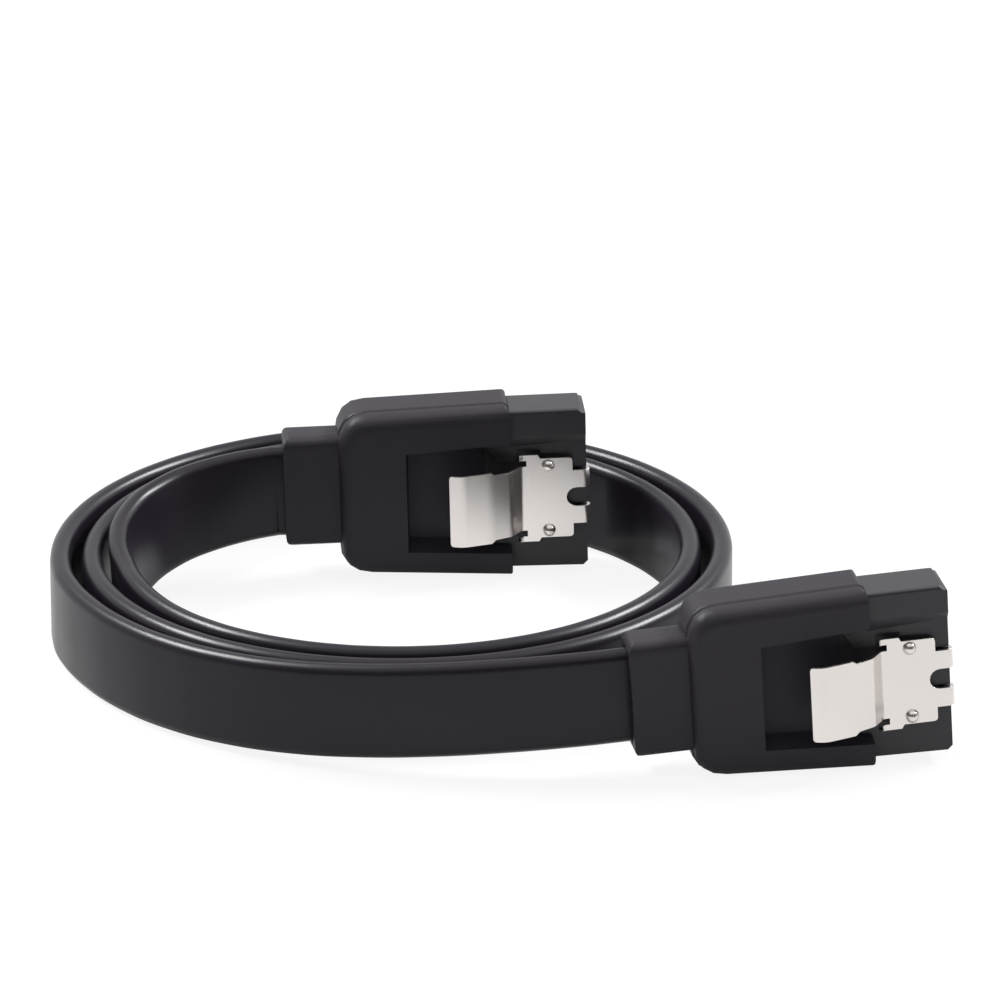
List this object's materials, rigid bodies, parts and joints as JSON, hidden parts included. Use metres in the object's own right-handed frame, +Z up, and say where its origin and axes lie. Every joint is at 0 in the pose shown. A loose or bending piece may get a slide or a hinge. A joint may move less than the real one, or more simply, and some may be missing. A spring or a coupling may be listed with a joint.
{
  "type": "sata data cable",
  "caption": "Flat SATA data cable coiled on its edge, with a straight plug on each end and a sprung steel latch with a thumb tab on each plug",
  "frame": {"origin": "on the floor, in the middle of the box round the two plugs", "axes": "+Z up, +X to the right of the picture and roughly along the plugs to their mating ends, +Y away from the viewer"},
  "size_m": [0.0752, 0.0655, 0.0158],
  "materials": {
    "jacket": "smooth black PVC with a soft sheen",
    "boot": "fine-grained black soft PVC moulding",
    "housing": "smooth hard black plastic",
    "comb": "plain moulded plastic",
    "steel": "stamped spring steel, lightly brushed",
    "contact": "gold-plated copper alloy",
    "signal_wire": "white foamed insulation",
    "drain_wire": "tinned copper wire"
  },
  "bodies": {
    "cable": {"cable_jacket": "jacket", "front_boot": "boot", "front_housing": "housing", "front_comb": "comb", "front_contact_1": "contact", "front_contact_2": "contact", "front_contact_3": "contact", "front_contact_4": "contact", "front_contact_5": "contact", "front_contact_6": "contact", "front_contact_7": "contact", "front_drain_wire_1": "drain_wire", "front_signal_wire_2": "signal_wire", "front_signal_wire_3": "signal_wire", "front_drain_wire_4": "drain_wire", "front_signal_wire_5": "signal_wire", "front_signal_wire_6": "signal_wire", "front_drain_wire_7": "drain_wire", "back_boot": "boot", "back_housing": "housing", "back_comb": "comb", "back_contact_1": "contact", "back_contact_2": "contact", "back_contact_3": "contact", "back_contact_4": "contact", "back_contact_5": "contact", "back_contact_6": "contact", "back_contact_7": "contact", "back_drain_wire_1": "drain_wire", "back_signal_wire_2": "signal_wire", "back_signal_wire_3": "signal_wire", "back_drain_wire_4": "drain_wire", "back_signal_wire_5": "signal_wire", "back_signal_wire_6": "signal_wire", "back_drain_wire_7": "drain_wire"},
    "front_latch": {"front_latch": "steel"},
    "back_latch": {"back_latch": "steel"}
  },
  "joints": [
    {"name": "front_latch_press", "type": "hinge", "parent": "cable", "child": "front_latch", "pos_m": [0.02723, -0.02139, 0.00756], "axis": [0.0594, 0.0097, -0.9982], "range_deg": [0, 8], "stiffness_Nm_per_rad": 0.1, "springref_deg": -2.86},
    {"name": "back_latch_press", "type": "hinge", "parent": "cable", "child": "back_latch", "pos_m": [-0.00183, 0.02248, 0.00733], "axis": [0.0223, 0.0015, -0.9998], "range_deg": [0, 8], "stiffness_Nm_per_rad": 0.1, "springref_deg": -2.86}
  ]
}
